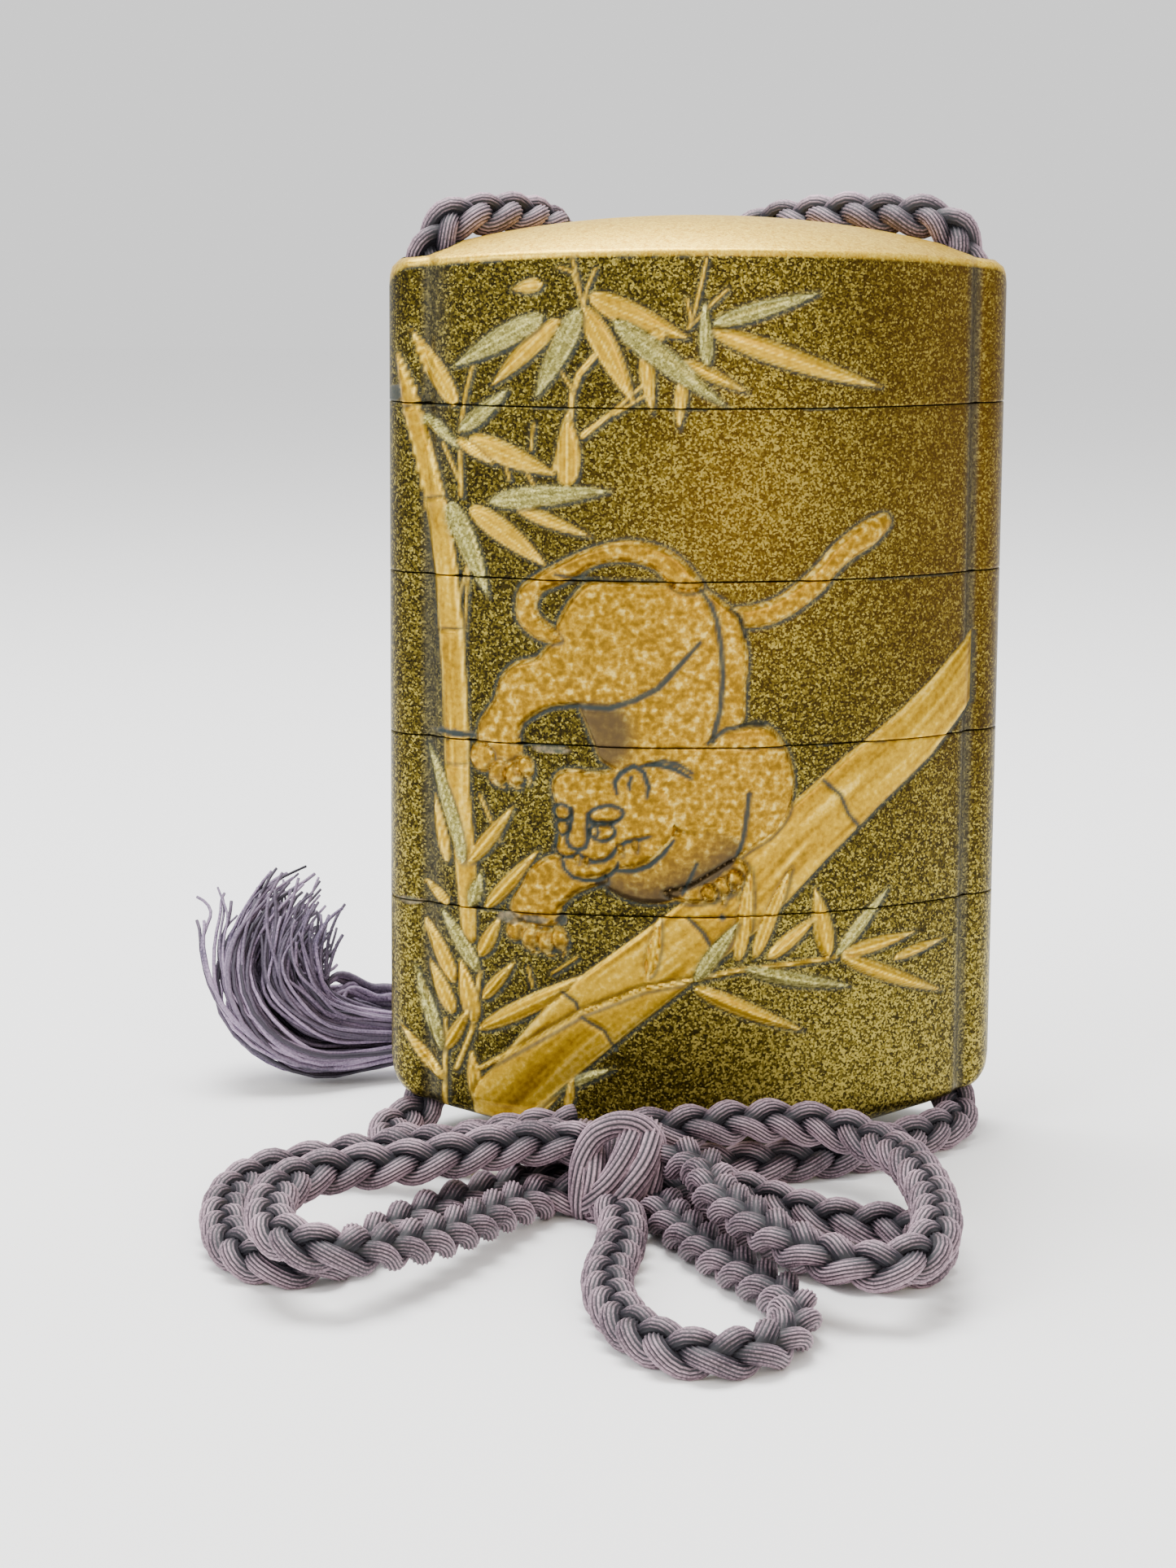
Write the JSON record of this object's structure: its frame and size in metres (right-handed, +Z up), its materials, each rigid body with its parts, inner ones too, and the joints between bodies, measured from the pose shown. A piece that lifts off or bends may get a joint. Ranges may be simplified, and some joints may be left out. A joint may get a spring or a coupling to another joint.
{
  "type": "inro case",
  "caption": "Stacked lacquer belt case with a domed lid, raised tiger and bamboo, cord runners in both sides and a braided silk cord tied in a bow.",
  "frame": {"origin": "middle of the flat foot under the lowest tray", "axes": "+Z up, -Y out of the side with the tiger, +X to the viewer's right"},
  "size_m": [0.0784, 0.1052, 0.0893],
  "materials": {
    "gold_lacquer": "gold powder sprinkled in clear lacquer, satin",
    "mauve_silk": "plaited silk yarn, soft sheen"
  },
  "bodies": {
    "root": {"lid": "gold_lacquer", "case_1": "gold_lacquer", "case_2": "gold_lacquer", "case_3": "gold_lacquer", "case_4": "gold_lacquer", "cord_left": "mauve_silk", "cord_right": "mauve_silk", "loop_left_outer": "mauve_silk", "loop_left_inner": "mauve_silk", "loop_right_large": "mauve_silk", "loop_right_inner": "mauve_silk", "loop_front": "mauve_silk", "knot": "mauve_silk", "tassel": "mauve_silk"}
  },
  "joints": []
}
